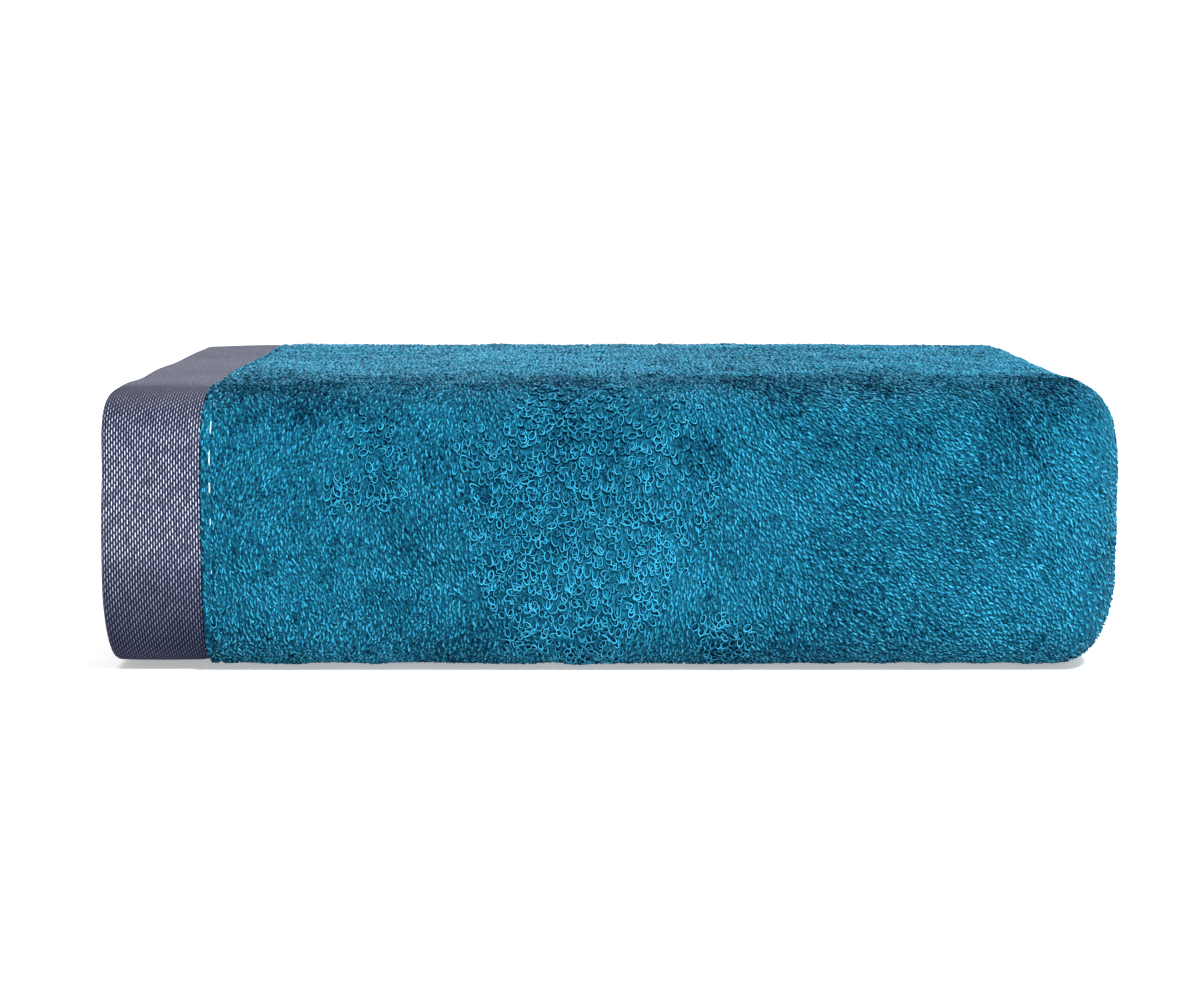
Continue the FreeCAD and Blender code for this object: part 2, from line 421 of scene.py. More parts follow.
# woven floats in staggered rows: place runs across the cloth in x and along it in y, in metres
def wovenFloatsGroup():
    inputs = {"Place": (0, 0, 0), "Across": 2.0 * mm, "Along": 2.4 * mm, "Slant": 0.15, "Float Width": 0.6}
    group, given, out = newGroup("wovenFloats", inputs, {"Float": 0.0, "Height": 0.0, "Yarn": 0.0})
    def calc(operation, first, second=None, clamp=False):
        return mathNode(group, operation, first, second, clamp)
    split = addNode(group, "ShaderNodeSeparateXYZ", Vector=given.outputs["Place"])
    across = calc("DIVIDE", split.outputs[0], given.outputs["Across"])
    column = calc("FLOOR", across)
    slanted = calc("MULTIPLY", across, given.outputs["Slant"])
    along = calc("ADD", calc("DIVIDE", split.outputs[1], given.outputs["Along"]), slanted)
    along = calc("ADD", along, calc("MULTIPLY", calc("MODULO", column, 2.0), 0.5))
    u, v = calc("SUBTRACT", calc("FRACT", across), 0.5), calc("SUBTRACT", calc("FRACT", along), 0.5)
    wide = calc("DIVIDE", u, given.outputs["Float Width"])
    tall = calc("POWER", calc("ABSOLUTE", calc("DIVIDE", v, 0.74)), 2.6)
    reach = calc("MULTIPLY", calc("ADD", calc("MULTIPLY", wide, wide), tall), 3.6)
    height = calc("SUBTRACT", 1.0, reach, clamp=True)
    cell = addNode(group, "ShaderNodeCombineXYZ", X=column, Y=calc("FLOOR", along))
    chance = addNode(group, "ShaderNodeTexWhiteNoise", noise_dimensions="2D", Vector=cell.outputs[0])
    feed(group, out.inputs["Float"], height)
    feed(group, out.inputs["Height"], calc("POWER", height, 0.6))
    feed(group, out.inputs["Yarn"], chance.outputs["Value"])
    return group


yarnColour = yarnColourGroup()
wovenFloats = wovenFloatsGroup()

terryLook = {
    # the yarn's colour runs from deep to light; painted shade and painted shadow pull it towards deep, the
    # loops' painted highlight towards light
    "deep": (0.0002, 0.009, 0.027, 1),
    "light": (0.018, 0.290, 0.472, 1),
    "glint": (0.35, 0.80, 1.0, 1),
    "patchSize": 30.0,
    "patchStrength": 0.06,
    "shine": 0.75,
    "groundRoughness": 0.95,
    "pileRoughness": 0.42,
    "sheen": (0.09, 0.40, (0.16, 0.72, 1.0, 1)),
}


def terryMaterial(name, roughness, specular, fleckStrength):
    look = terryLook
    material, tree, shader = newMaterial(name, roughness, look["sheen"], specular)
    shader.inputs["Specular Tint"].default_value = look["glint"]
    place = addNode(tree, "ShaderNodeTexCoord").outputs["Object"]
    tone = readAttribute(tree, "pileToneAndShade")
    values = {"Place": place, "Deep": look["deep"], "Light": look["light"], "Tone": tone,
              "Patch Size": look["patchSize"], "Patch Strength": look["patchStrength"],
              "Fleck Strength": fleckStrength}
    yarn = addNode(tree, "ShaderNodeGroup", node_tree=yarnColour, **values)
    feed(tree, shader.inputs["Base Color"], yarn.outputs["Colour"])
    return material, tree, shader, place, tone


def groundMaterial():
    roughness = terryLook["groundRoughness"]
    material, tree, shader, place, _ = terryMaterial("tealTerryGround", roughness, 0.1, 0.3)
    knots = addNode(tree, "ShaderNodeTexVoronoi", Vector=place, Scale=700.0, Randomness=0.9)
    fuzz = addNode(tree, "ShaderNodeTexNoise", Vector=place, Scale=2400.0, Detail=2.0)
    fuzzHeight = mathNode(tree, "MULTIPLY", fuzz.outputs[0], 0.6)
    addBump(tree, shader, mathNode(tree, "ADD", knots.outputs["Distance"], fuzzHeight), 0.9, 0.8 * mm)
    return material


def pileMaterial():
    material, tree, shader, _, tone = terryMaterial("tealPileYarn", terryLook["pileRoughness"], 0.3, 0.15)
    shine = mathNode(tree, "MULTIPLY", mathNode(tree, "POWER", tone, 2.0), terryLook["shine"])
    feed(tree, shader.inputs["Specular IOR Level"], shine)
    return material


bandLook = {
    "gap": (0.004, 0.006, 0.020, 1),
    "yarn": (0.225, 0.250, 0.380, 1),
    # shine: a painted highlight on the floats' crowns; the next colour is the yarn under painted shade
    "shine": (0.640, 0.680, 0.880, 1),
    "paintedShadeYarn": (0.062, 0.063, 0.096, 1),
    "across": 0.92 * mm,
    "along": 2.5 * mm,
    "slant": 0.10,
    "floatWidth": 0.47,
    "gloss": 0.18,
}


def bandMaterial():
    look = bandLook
    material, tree, shader = newMaterial("slateTwillTape", 0.60, (0.02, 0.5, (0.7, 0.75, 1, 1)), 0.15)
    tone, place = readAttribute(tree, "tapeToneAndShade"), readAttribute(tree, "clothPlace", "Vector")
    values = {"Place": place, "Across": look["across"], "Along": look["along"], "Slant": look["slant"],
              "Float Width": look["floatWidth"]}
    weave = addNode(tree, "ShaderNodeGroup", node_tree=wovenFloats, **values)
    # where the tape's tone carries painted shade, the yarn turns towards its painted shade colour
    yarn = mixColours(tree, tone, look["paintedShadeYarn"], look["yarn"])
    body = mixColours(tree, weave.outputs["Float"], look["gap"], yarn)
    # a painted highlight on the crowns of random floats, dimmed where painted shade lies
    lit = mathNode(tree, "POWER", weave.outputs["Float"], 2.0)
    chance = mathNode(tree, "MULTIPLY", weave.outputs["Yarn"], 1.7)
    lit = mathNode(tree, "MULTIPLY", lit, chance, clamp=True)
    lit = mathNode(tree, "MULTIPLY", lit, mathNode(tree, "POWER", tone, 1.6))
    body = mixColours(tree, lit, body, look["shine"])
    feed(tree, shader.inputs["Base Color"], body)
    shine = mathNode(tree, "MULTIPLY", tone, look["gloss"])
    feed(tree, shader.inputs["Specular IOR Level"], shine)
    addBump(tree, shader, weave.outputs["Height"], 0.8, 0.35 * mm)
    return material


def threadMaterial(name, colour):
    material, tree, shader = newMaterial(name, 0.5, (0.2, 0.5, (1, 1, 1, 1)), 0.4)
    plies = addNode(tree, "ShaderNodeTexWave", Vector=readAttribute(tree, "clothPlace", "Vector"),
                    Scale=420.0, Distortion=1.5, bands_direction="DIAGONAL")
    shaded = tuple(c * 0.55 for c in colour[:3]) + (1,)
    feed(tree, shader.inputs["Base Color"], mixColours(tree, plies.outputs["Fac"], shaded, colour))
    addBump(tree, shader, plies.outputs["Fac"], 0.5, 0.1 * mm)
    return material


def labelMaterial():
    material, tree, shader = newMaterial("whiteSatinRibbon", 0.50, None, 0.2)
    place = addNode(tree, "ShaderNodeTexCoord").outputs["Object"]
    rows = addNode(tree, "ShaderNodeTexWave", Vector=place, Scale=900.0, Distortion=0.6, bands_direction="Z")
    # darker in the rows' hollows and lighter on their ridges: painted shade and painted highlight on a white
    # ribbon
    paintedHollowShade, raised = (0.27, 0.27, 0.26, 1), (0.39, 0.39, 0.38, 1)
    colour = mixColours(tree, rows.outputs["Fac"], paintedHollowShade, raised)
    feed(tree, shader.inputs["Base Color"], colour)
    addBump(tree, shader, rows.outputs["Fac"], 0.4, 0.1 * mm)
    return material


terry = groundMaterial()
pileYarn = pileMaterial()
tape = bandMaterial()
paleThread = threadMaterial("paleStitchThread", (0.42, 0.68, 0.76, 1))
tealThread = threadMaterial("tealHemThread", (0.020, 0.190, 0.320, 1))
ribbon = labelMaterial()
print("materials made")


# the terry cloth, one closed thick sheet for each stretch of it
clothLook = {
    "groundHalf": 3.15 * mm,     # half of the cloth's thickness, without the pile yarns that stand proud
    "bandHalf": 1.2 * mm,        # where it runs into a band
    "hemHalf": 2.3 * mm,         # narrow side hems have no pile
    "hemWidth": 8.0 * mm,
    "stitchOffset": 3.5 * mm,    # from the band to its row of stitches
    "stitchDent": 0.7 * mm,
    "lumps": 0.35 * mm,
    # the ground's tone is scaled down: painted shade between the pile yarns
    "paintedGroundShade": 0.37,
}
frontMiddle = widthParts[2]["start"] + widthParts[2]["length"]
firstRow = bandWidth + clothLook["stitchOffset"]
secondRow = towelLength - bandWidth - clothLook["stitchOffset"]


def clothHalf(s, u):
    look = clothLook
    fromEnd = np.minimum(s, towelLength - s)
    fromHem = np.minimum(u, towelWidth - u)
    full = look["groundHalf"]
    pileShare = ease(fromEnd, bandWidth - 0.6 * mm, bandWidth + 1.4 * mm)
    thick = look["bandHalf"] + (full - look["bandHalf"]) * pileShare
    dent = bell(fromEnd - bandWidth, look["stitchOffset"], 1.0 * mm)
    thick = thick - look["stitchDent"] * dent
    hem = look["hemHalf"] * (0.45 + 0.55 * ease(fromHem, -0.5 * mm, 2 * mm))
    hem = hem - 0.5 * look["stitchDent"] * bell(fromHem, look["hemWidth"], 0.9 * mm)
    inside = ease(fromHem, look["hemWidth"] + 0.5 * mm, look["hemWidth"] + 5 * mm)
    lumps = noise("lumps", s, u) * look["lumps"]
    lumps = lumps * ease(fromEnd, bandWidth + 6 * mm, bandWidth + 12 * mm)
    return np.minimum(thick, hem) * (1 - inside) + (thick + lumps) * inside


# how dark or light the pile shows, near 0 dark and near 1 light: random changes, with painted shade over the
# top front edge and towards the bottom
pileShades = {
    "base": 0.53,
    "wide": 0.07,        # slow changes over the cloth
    "close": 0.08,       # quick ones
    "toRight": 0.03,
    "edge": 0.34,        # painted shade over the top front edge, darker blotches just below it, and painted shade near the bottom
    "blotches": 0.18,
    "under": 0.14,
}


def pileToneAndShade(s, u):
    shade = pileShades
    fromCorner = u - widthParts[1]["start"]
    wide = noise("wideTone", s, u)
    close = noise("closeTone", s, u)
    toRight = ease(s, 160 * mm, lengthStarts[1])
    tone = shade["base"] + shade["wide"] * wide + shade["close"] * close + shade["toRight"] * toRight
    edge = bell(fromCorner, 0, np.where(fromCorner < 0, 30 * mm, 13 * mm))
    below = bell(fromCorner, 19 * mm, 11 * mm)
    blotches = ease(noise("blotches", s, u), -0.10, 0.50)
    under = ease(u - frontMiddle, 22 * mm, 42 * mm)
    outside = 1 - ease(s, lengthStarts[1], lengthStarts[1] + 12 * mm)
    # painted shade over the top front edge and towards the bottom, with darker blotches just below the edge,
    # on the outer layer only
    darker = shade["edge"] * edge + shade["blotches"] * below * blotches + shade["under"] * under
    return np.clip(tone - outside * darker, 0, 1)


def stations(parts):
    found = []
    for start, end, step in parts:
        count = max(1, round((end - start) / step))
        found += list(start + (end - start) * np.arange(count) / count)
    return np.array(found + [parts[-1][1]])


def lengthStations():
    near = bandWidth + np.array([-6, -3, -1.5, -0.5, 0.5, 1.5, 2.4, 3.0, 3.5, 4.0, 4.6, 5.6, 7, 9, 12]) * mm
    starts = lengthStarts
    middle = stations([(bandWidth + 15 * mm, starts[1], 6 * mm), (starts[1], starts[2], 2.3 * mm),
                       (starts[2], starts[3], 12 * mm), (starts[3], starts[4], 1.2 * mm),
                       (starts[4], starts[5], 12 * mm), (starts[5], starts[6], 1.5 * mm),
                       (starts[6], towelLength - bandWidth - 15 * mm, 12 * mm)])
    inside = np.array([5.0, 12.0, 20.0]) * mm
    return np.concatenate([inside, near, middle, (towelLength - near)[::-1], (towelLength - inside)[::-1]])


def widthStations():
    hem = np.array([0, 0.5, 1.2, 2.2, 4.5, 6.6, 7.3, 8.0, 8.7, 9.4, 10.6, 12, 14, 17]) * mm
    first = 20 * mm
    runs = []
    for part in widthParts:
        start = max(part["start"], first)
        end = min(part["start"] + part["length"], towelWidth - first)
        runs.append((start, end, 6 * mm if part["radius"] is None else 2.0 * mm))
    return np.concatenate([hem, stations(runs), (towelWidth - hem)[::-1]])


# the three stretches of the towel, and the CAD body that each one's nodes are named after
stretches = {"bottom": "base", "front": "front", "top": "flap"}


def pieceRange(stretch):
    parts = [part for part in widthParts if part["piece"] == stretch]
    return parts[0]["start"], parts[-1]["start"] + parts[-1]["length"]


def stretchStations(stretch, u):
    low, high = pieceRange(stretch)
    held = np.where((u >= low - 1e-7) & (u <= high + 1e-7))[0]
    return slice(held[0], held[-1] + 1)


def setNormals(mesh, normals):
    mesh.normals_split_custom_set([tuple(n) for n in normals])


def unit(vectors):
    return vectors / np.maximum(np.linalg.norm(vectors, axis=-1, keepdims=True), 1e-12)


def gridNormals(points):
    return unit(np.cross(np.gradient(points, axis=1), np.gradient(points, axis=0)))


# which point each corner of the mesh's faces belongs to
def cornerPoints(mesh):
    found = np.zeros(len(mesh.loops), np.int64)
    mesh.loops.foreach_get("vertex_index", found)
    return found


# the bottom stretch's pieces go onto the base body; the front's and the top third's are baked where they lie
def follow(piece, stretch):
    if stretch == "bottom":
        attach(piece, "base")
    else:
        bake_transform(piece)


# the piece is attached or baked by its stretch, and the CAD node it stands for is hidden where one is named
def finishPiece(piece, stretch, node=None):
    follow(piece, stretch)
    if node:
        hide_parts(node)


# one value or one place for each point of the mesh, for its material to read
def store(mesh, name, values):
    kind, field = ("FLOAT_VECTOR", "vector") if np.ndim(values) == 2 else ("FLOAT", "value")
    made = mesh.attributes.new(name, kind, "POINT")
    made.data.foreach_set(field, np.asarray(values, np.float32).ravel())


# a thick sheet from two grids of points, face side and back side, closed round its edge
def thickSheet(name, face, back, faceNormals, backNormals, material):
    rows, columns = face.shape[:2]
    count = rows * columns
    points = np.concatenate([face.reshape(-1, 3), back.reshape(-1, 3)])
    upper = gridFaces(rows, columns)
    lower = gridFaces(rows, columns, count)[:, ::-1]
    ring = np.concatenate([np.arange(columns), np.arange(1, rows) * columns + columns - 1,
                           count - 2 - np.arange(columns - 1), (rows - 2 - np.arange(rows - 2)) * columns])
    after = np.roll(ring, -1)
    rim = np.stack([after, ring, ring + count, after + count], 1)
    piece = newPiece(name, points, np.concatenate([upper, lower, rim]), material)
    normals = np.concatenate([faceNormals.reshape(-1, 3), backNormals.reshape(-1, 3)])
    normals = normals[cornerPoints(piece.data)]
    flat = len(upper) * 4 + len(lower) * 4
    rimNormals = np.cross(points[rim[:, 1]] - points[rim[:, 0]], points[rim[:, 3]] - points[rim[:, 0]])
    normals[flat:] = np.repeat(unit(rimNormals), 4, axis=0)
    setNormals(piece.data, normals)
    return piece


def makeCloth():
    s, u = lengthStations(), widthStations()
    gridS, gridU = np.meshgrid(s, u, indexing="ij")
    thick = clothHalf(gridS, gridU)
    shape = gridS.shape + (3,)
    face = folded(gridS, gridU, thick).reshape(shape)
    back = folded(gridS, gridU, -thick).reshape(shape)
    faceNormals, backNormals = gridNormals(face), -gridNormals(back)
    for stretch in stretches:
        part = stretchStations(stretch, u)
        piece = thickSheet("terry_cloth_" + stretch, face[:, part], back[:, part], faceNormals[:, part],
                           backNormals[:, part], terry)
        tone = pileToneAndShade(gridS[:, part], gridU[:, part]).ravel()
        # the ground takes the pile's tone scaled down, as painted shade between the pile yarns
        store(piece.data, "pileToneAndShade", np.concatenate([tone, tone]) * clothLook["paintedGroundShade"])
        finishPiece(piece, stretch, "towel_cloth_" + stretches[stretch])
        print("cloth", stretch, len(piece.data.polygons), "faces")


makeCloth()


# the woven band: a tape folded round each short end of the towel and sewn down
tapeLook = {
    "faceHeight": 2.4 * mm,
    "thickness": 0.8 * mm,
    "sewnDip": 0.35 * mm,       # its edges are pulled down by the sewing
    "swell": 0.2 * mm,
    "tone": 0.92,               # how bright its yarns show, and how much painted shade dulls them over the bend, on the top and towards the bottom
    "paintedBendShade": 0.74,
    "paintedTopShade": 0.52,
    "paintedLowShade": 0.84,
    "swayTone": 0.06,
}


def tapeProfile():
    look = tapeLook
    run = bandWidth - np.array([0, 0.4, 1, 2, 3.5, 5.5, 8, 11, 14, 17, 20, 23, 26, 29, 31]) * mm
    turn = np.linspace(pi / 2, -pi / 2, 11)
    centre = look["faceHeight"]
    dip = look["sewnDip"] * (1 - ease(bandWidth - run, 0, 3.5 * mm))
    swell = look["swell"] * np.sin(pi * np.clip(run / bandWidth, 0, 1))
    sides = []
    for radius in (centre, centre - look["thickness"]):
        height = radius - dip + swell
        s = np.concatenate([run, centre - radius * np.cos(turn), run[::-1]])
        d = np.concatenate([height, radius * np.sin(turn), -height[::-1]])
        sides.append((s, d))
    s = np.concatenate([sides[0][0], sides[1][0][::-1]])
    d = np.concatenate([sides[0][1], sides[1][1][::-1]])
    return s, d


# how bright the tape's face yarns show, with random sway and painted shade over the top edge, on the top and
# towards the bottom edge
def tapeToneAndShade(s, u):
    look, fromCorner = tapeLook, u - widthParts[1]["start"]
    overEdge = bell(fromCorner, 7 * mm, 9 * mm)
    onTop = 1 - ease(fromCorner, -4 * mm, 8 * mm)
    low = ease(u - frontMiddle, 0 * mm, 32 * mm) * (1 - ease(u - frontMiddle, 60 * mm, 90 * mm))
    sway = noise("tapeToneAndShade", s, u)
    darker = look["paintedBendShade"] * overEdge + look["paintedTopShade"] * onTop + look["paintedLowShade"] * low
    return np.clip(look["tone"] - darker + look["swayTone"] * sway, 0, 1)


def ringNormals(points):
    around = np.roll(points, -1, axis=1) - np.roll(points, 1, axis=1)
    return unit(np.cross(around, np.gradient(points, axis=0)))


# names are those of the CAD nodes: the end band shows outside, the inner band ends inside the fold
def makeBand(name, far):
    s, d = tapeProfile()
    count = len(s)
    walked = np.concatenate([[0], np.cumsum(np.hypot(np.diff(s), np.diff(d)))])
    u = widthStations()
    gridU, gridS = np.meshgrid(u, towelLength - s if far else s, indexing="ij")
    gridD = np.broadcast_to(d, gridS.shape)
    points = folded(gridS, gridU, gridD).reshape(gridS.shape + (3,))
    normals = ringNormals(points) * (-1 if far else 1)
    steps = np.linalg.norm(np.diff(points[:, len(s) // 8], axis=0), axis=1)
    rolled = np.broadcast_to(np.concatenate([[0], np.cumsum(steps)])[:, None], gridS.shape)
    places = np.stack([np.broadcast_to(walked, gridS.shape), rolled, gridD], -1)
    for stretch in stretches:
        part = stretchStations(stretch, u)
        rows = part.stop - part.start
        quads = gridFaces(rows, count, around=True)
        across = np.arange(count // 2 - 1)
        cap = np.stack([across + 1, across, count - 1 - across, count - 2 - across], 1)
        quads = np.concatenate([quads, cap, cap[:, ::-1] + (rows - 1) * count])
        if far:
            quads = quads[:, ::-1]
        piece = newPiece(name + "_tape_" + stretch, points[part].reshape(-1, 3), quads, tape)
        setNormals(piece.data, normals[part].reshape(-1, 3)[cornerPoints(piece.data)])
        store(piece.data, "clothPlace", places[part].reshape(-1, 3))
        store(piece.data, "tapeToneAndShade", tapeToneAndShade(gridS[part], gridU[part]).ravel())
        finishPiece(piece, stretch, name + "_" + stretches[stretch])


makeBand("end_band", far=False)
makeBand("inner_band", far=True)
print("bands made")


# how much longer the cloth's face is than its middle at a place, along s and along u
def faceStretch(s, u):
    small = 0.05 * mm
    top = np.full(np.shape(s), clothLook["groundHalf"])
    here = folded(s, u, top)
    byS = np.linalg.norm(folded(s + small, u, top) - here, axis=1) / small
    byU = np.linalg.norm(folded(s, u + small, top) - here, axis=1) / small
    return np.clip(byS, 0.3, 4), np.clip(byU, 0.3, 4)


# yarns as tubes: each row of pathS, pathU, pathD is one yarn's middle line, on the flat towel
def yarnTubes(pathS, pathU, pathD, radius, sides, byS, byU):
    count, rings = pathS.shape
    alongS = np.gradient(pathS, axis=1) * byS[:, None]
    alongU = np.gradient(pathU, axis=1) * byU[:, None]
    size = np.maximum(np.hypot(alongS, alongU), 1e-9)
    turn = 2 * pi * (np.arange(sides) + 0.25) / sides
    aside = radius[..., None] * np.cos(turn)
    upward = radius[..., None] * np.sin(turn)
    s = pathS[..., None] - (alongU / size)[..., None] * aside / byS[:, None, None]
    u = pathU[..., None] + (alongS / size)[..., None] * aside / byU[:, None, None]
    d = pathD[..., None] + upward
    points = folded(s, u, d)
    points[:, 2] = np.maximum(points[:, 2], 0.01 * mm)
    ring = gridFaces(rings, sides, around=True)[:, ::-1]
    first = np.arange(count)[:, None, None] * rings * sides
    walls = (ring[None] + first).reshape(-1, 4)
    cap = np.arange(sides)
    caps = np.stack([cap, (rings - 1) * sides + cap[::-1]])
    return points, [walls, (caps[None] + first).reshape(-1, sides)]


# rows of stitches: dashes of thread that dive into the cloth at both ends
stitchLook = {
    "bandPitch": 5.7 * mm,
    "bandLength": 3.5 * mm,
    "hemPitch": 4.0 * mm,
    "hemLength": 2.9 * mm,
    "labelPitch": 3.2 * mm,
    "labelLength": 2.4 * mm,
    "radius": 0.30 * mm,
    "fineRadius": 0.28 * mm,
    "buried": 0.55 * mm,        # how far the pile swallows the stitches where it does
    "rise": 0.30 * mm,
    "sink": 0.75 * mm,
}


def stitches(middles, line, alongWidth, side, length, radius):
    look = stitchLook
    rng = np.random.default_rng(len(middles) + int(line / mm) + side)
    step = np.linspace(-0.5, 0.5, 8)
    offset = step[None, :] * (length * rng.uniform(0.9, 1.1, len(middles)))[:, None]
    along = middles[:, None] + offset
    across = line + rng.normal(0, 0.1 * mm, len(middles))[:, None] + 0 * along
    pathS, pathU = (across, along) if alongWidth else (along, across)
    arch = np.sqrt(np.clip(1 - (2 * step) ** 2, 0, 1))[None, :]
    pathD = clothHalf(pathS, pathU) - look["sink"] + (look["sink"] + look["rise"]) * arch
    if alongWidth:
        clear = bell(middles - frontMiddle, -20 * mm, 15 * mm)
        hidden = np.clip(1 - clear + 0.35 * rng.normal(0, 1, len(middles)), 0, 1)
        pathD = pathD - look["buried"] * hidden[:, None]
    width = radius * (0.55 + 0.45 * arch) * np.ones_like(along)
    one = np.ones(len(middles))
    points, faces = yarnTubes(pathS, pathU, side * pathD, width, 6, one, one)
    if side < 0:
        faces = [group[:, ::-1] for group in faces]
    return points, faces, (np.repeat(offset.ravel(), 6), np.tile(np.arange(6.0), offset.size))


# one piece of the dashes on both sides of the cloth
def stitchRow(name, middles, line, alongWidth, length, radius, material):
    points, walls, caps, places, first = [], [], [], [], 0
    for side in (1, -1):
        made, faces, (offset, around) = stitches(middles, line, alongWidth, side, length, radius)
        points.append(made)
        walls.append(faces[0] + first)
        caps.append(faces[1] + first)
        places.append(np.stack([around * 0.2 * mm, offset, 0 * offset], 1))
        first += len(made)
    faces = [np.concatenate(walls), np.concatenate(caps)]
    piece = newPiece(name + "_row", np.concatenate(points), faces, material)
    store(piece.data, "clothPlace", np.concatenate(places))
    return piece


def inStretch(middles, stretch):
    low, high = pieceRange(stretch)
    return middles[(middles >= low) & (middles < high)]


def makeBandStitches():
    look = stitchLook
    middles = np.arange(2.2 * mm, towelWidth - 2 * mm, look["bandPitch"])
    for name, line in (("end_band_stitching", firstRow), ("inner_band_stitching", secondRow)):
        for stretch in stretches:
            piece = stitchRow(name + "_" + stretch, inStretch(middles, stretch), line, True,
                              look["bandLength"], look["radius"], paleThread)
            finishPiece(piece, stretch, name + "_" + stretches[stretch])


def makeHemStitches():
    look = stitchLook
    middles = np.arange(bandWidth + 8 * mm, towelLength - bandWidth - 6 * mm, look["hemPitch"])
    hem = clothLook["hemWidth"]
    for name, line, stretch in (("flap_hem_stitching", hem, "top"),
                                ("middle_hem_stitching", towelWidth - hem, "bottom")):
        piece = stitchRow(name, middles, line, False, look["hemLength"], look["fineRadius"], tealThread)
        finishPiece(piece, stretch, name)


makeBandStitches()
makeHemStitches()
print("stitches made")


# the blank care label: a ribbon sewn into the top third's hem, hanging behind it
labelLook = {
    "thickness": 0.4 * mm,
    "standOff": 0.45 * mm,
    "curl": 2.2 * mm,
    "steps": 15,
    "drop": 22 * mm,
}


def makeLabel():
    look = labelLook
    low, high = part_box("care_label")
    tab = yFlapEdge - low[1]
    drop = look["drop"]
    s = np.linspace(low[0], high[0], 13) - xEnd
    inside = np.linspace(tab, 0.4 * mm, 5)
    gridS, gridU = np.meshgrid(s, inside, indexing="ij")
    hidden = folded(gridS, gridU, np.zeros_like(gridS)).reshape(len(s), -1, 3)
    edge = hidden[:, -1]
    fall = np.linspace(0, 1, look["steps"])
    bend = np.minimum(fall * 12, 1)
    wave = np.sin(np.linspace(0, pi, len(s)))[:, None]
    hanging = np.zeros((len(s), len(fall), 3))
    hanging[..., 0] = edge[:, None, 0]
    curled = look["curl"] * fall ** 3 * (0.4 + wave * 0.6)
    hanging[..., 1] = edge[:, None, 1] + 0.4 * mm + look["standOff"] * bend + curled
    hanging[..., 2] = edge[:, None, 2] - 0.05 * mm - drop * fall + 0.6 * mm * fall ** 4
    middle = np.concatenate([hidden, hanging], axis=1)
    normals = gridNormals(middle)
    face = middle + normals * look["thickness"] / 2
    back = middle - normals * look["thickness"] / 2
    piece = thickSheet("care_label_ribbon", face, back, normals, -normals, ribbon)
    finishPiece(piece, "top", "care_label")
    stitch = stitchLook
    middles = np.arange(low[0] + 1.8 * mm, high[0] - 1 * mm, stitch["labelPitch"]) - xEnd
    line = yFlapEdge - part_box("care_label_stitching")[0][1]
    row = stitchRow("care_label_stitching", middles, line, False, stitch["labelLength"],
                    stitch["fineRadius"], tealThread)
    finishPiece(row, "top", "care_label_stitching")


makeLabel()
print("label made")


# the pile: short curved yarns that lie on the cloth, and clear open loops in one patch of the front
pileLook = {
    "length": (1.6 * mm, 3.0 * mm),
    "radius": (0.27 * mm, 0.40 * mm),
    "bow": 0.27 * mm,
    "sink": 0.45 * mm,
    "rise": 0.42 * mm,
    "lowRise": 0.14 * mm,        # where two layers lie on each other
    "rings": 5,
    "mostInPiece": 7000,
    "toneSpread": 0.18,
}
openingReach = frontMiddle - widthParts[1]["start"] + 26 * mm
# stretch, first and last of the width's parts, part of the length, space between yarns, their rise
pileFields = [
    ("top", 0, 0, 0, 1.75 * mm, "rise"),
    ("top", 1, 2, 0, 1.40 * mm, "rise"),
    ("front", 3, 4, 0, 1.40 * mm, "rise"),
    ("front", 5, 5, 0, 2.60 * mm, "lowRise"),
    ("bottom", 6, 6, 0, 3.40 * mm, "lowRise"),
    ("bottom", 7, 7, 0, 1.90 * mm, "rise"),
    ("bottom", 8, 8, 0, 2.30 * mm, "lowRise"),
    ("top", 0, 2, 1, 1.70 * mm, "rise"),
    ("front", 3, 5, 1, 1.70 * mm, "rise"),
    ("bottom", 6, 8, 1, 2.00 * mm, "rise"),
    ("top", 0, 0, 2, 2.30 * mm, "lowRise"),
    ("bottom", 6, 8, 2, 4.50 * mm, "lowRise"),
    ("top", 0, 2, 3, 1.80 * mm, "lowRise"),
    ("front", 3, 5, 3, 1.80 * mm, "lowRise"),
    ("bottom", 6, 8, 3, 2.00 * mm, "lowRise"),
]


# a jittered grid of places, about one per spacing squared of the stretched face
def scatter(rng, lowS, highS, lowU, highU, spacing):
    probeS, probeU = np.meshgrid(np.linspace(lowS, highS, 9)[1:-1], np.linspace(lowU, highU, 9)[1:-1])
    byS, byU = faceStretch(probeS.ravel(), probeU.ravel())
    rows = max(1, round((highS - lowS) * byS.mean() / spacing))
    columns = max(1, round((highU - lowU) * byU.mean() / spacing))
    a, b = np.meshgrid(np.arange(rows), np.arange(columns), indexing="ij")
    shift = 0.5 * (b % 2)
    a = (a + 0.5 * shift + rng.uniform(0.05, 0.95, a.shape)) / rows
    b = (b + rng.uniform(0.05, 0.95, b.shape)) / columns
    return lowS + (highS - lowS) * np.clip(a, 0, 1).ravel(), lowU + (highU - lowU) * b.ravel()


def scatterOver(rng, lowS, highS, parts, spacing):
    places = [scatter(rng, lowS, highS, part["start"], part["start"] + part["length"], spacing)
              for part in parts]
    return (np.concatenate(v) for v in zip(*places))


# which way the yarns lie: 0 is along the width, more leans towards the fold end
def pileHeading(rng, s, u):
    x = s + xEnd
    lean = math.radians(42) * ease(x, -10 * mm, 75 * mm)
    sway = math.radians(24) * noise("pileSway", s, u)
    low = ease(u - frontMiddle, -4 * mm, 22 * mm) * ease(-x, 20 * mm, 70 * mm)
    spread = math.radians(14) + math.radians(12) * low
    return lean + sway + rng.normal(0, 1, s.shape) * spread


